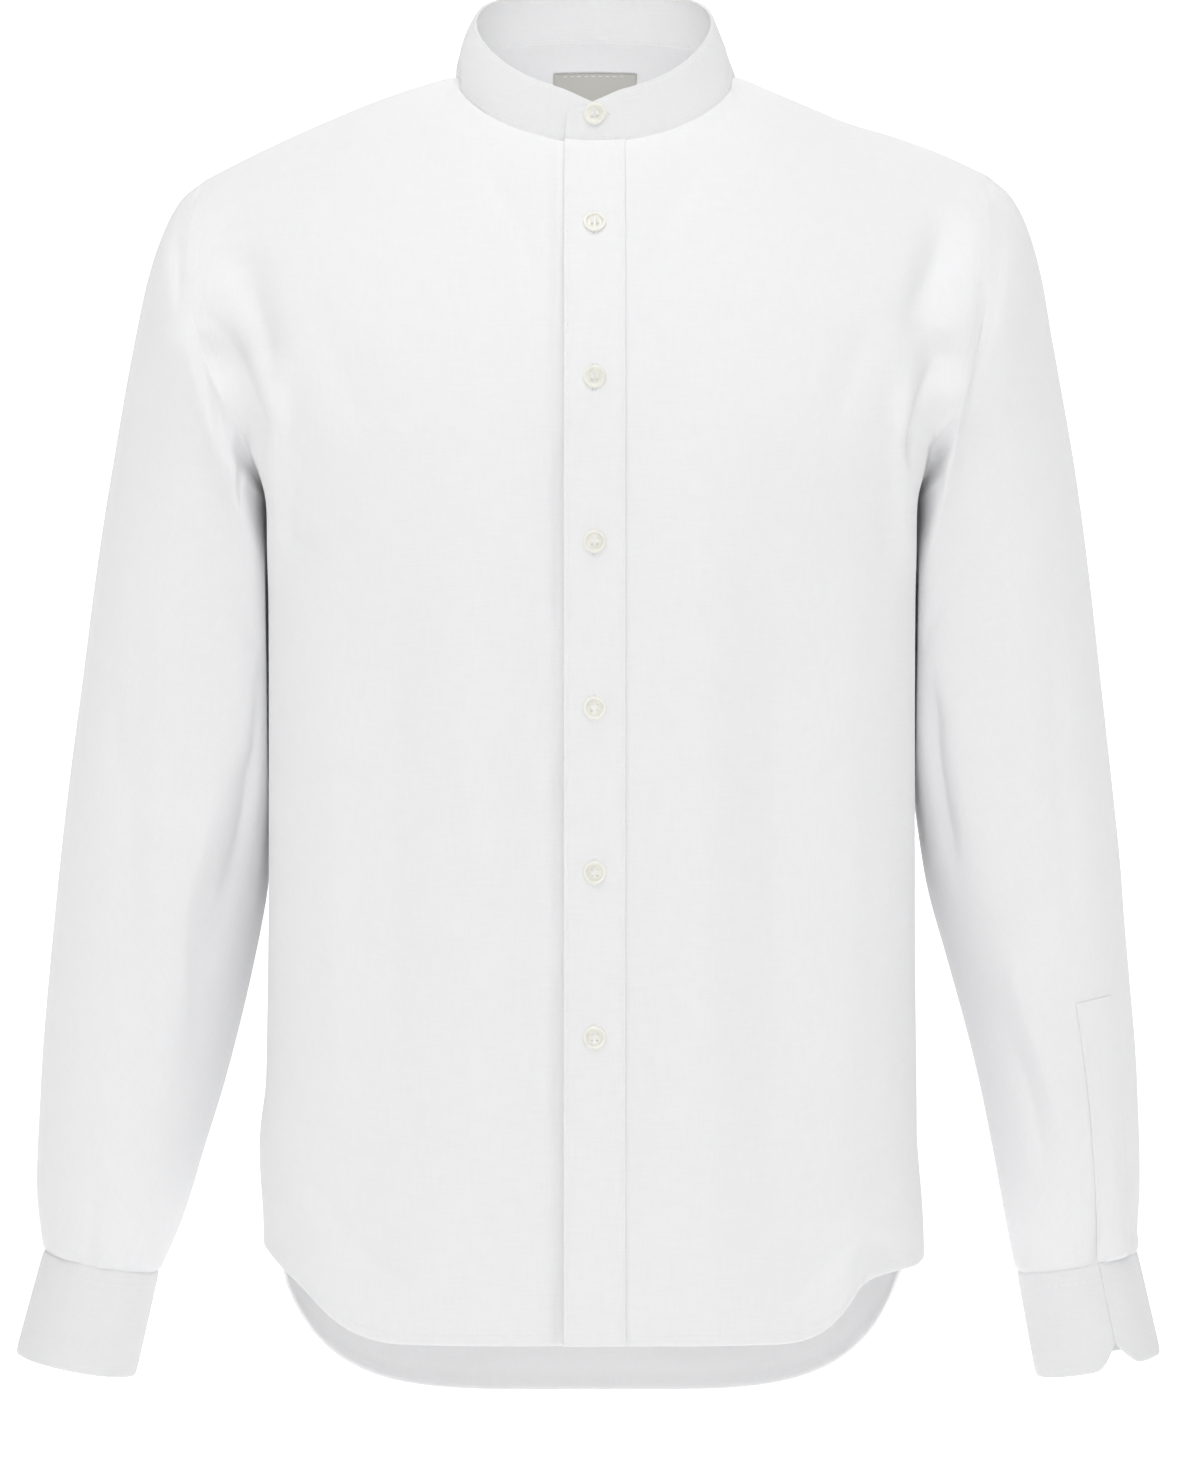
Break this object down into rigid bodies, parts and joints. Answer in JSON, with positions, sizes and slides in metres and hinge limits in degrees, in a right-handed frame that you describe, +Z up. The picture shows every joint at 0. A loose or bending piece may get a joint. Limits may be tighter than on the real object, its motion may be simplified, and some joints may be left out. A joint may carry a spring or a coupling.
{
  "type": "mandarin collar shirt",
  "caption": "Long-sleeved shirt with a lapped mandarin band collar, a buttoned front strip, lapped cuffs and a curved hem with a longer back, filled out as worn.",
  "frame": {"origin": "middle of the neck opening, where the shirt hangs on the wearer's neck and shoulders", "axes": "+Z up, the front of the shirt faces -Y, the wearer's left is +X"},
  "size_m": [0.6383, 0.2707, 0.8021],
  "materials": {
    "cloth": "plain woven white shirting, washed, matt",
    "button": "pale ivory, softly polished",
    "label": "woven tape, left bare"
  },
  "bodies": {
    "root": {"back": "cloth", "yoke": "cloth", "left_front": "cloth", "right_front": "cloth", "placket": "cloth", "collar": "cloth", "sleeve_left": "cloth", "sleeve_right": "cloth", "sleeve_placket_left": "cloth", "sleeve_placket_right": "cloth", "cuff_left": "cloth", "cuff_right": "cloth", "neck_label": "label", "button_1": "button", "button_2": "button", "button_3": "button", "button_4": "button", "button_5": "button", "button_6": "button", "collar_button": "button", "cuff_button_right": "button"}
  },
  "joints": []
}
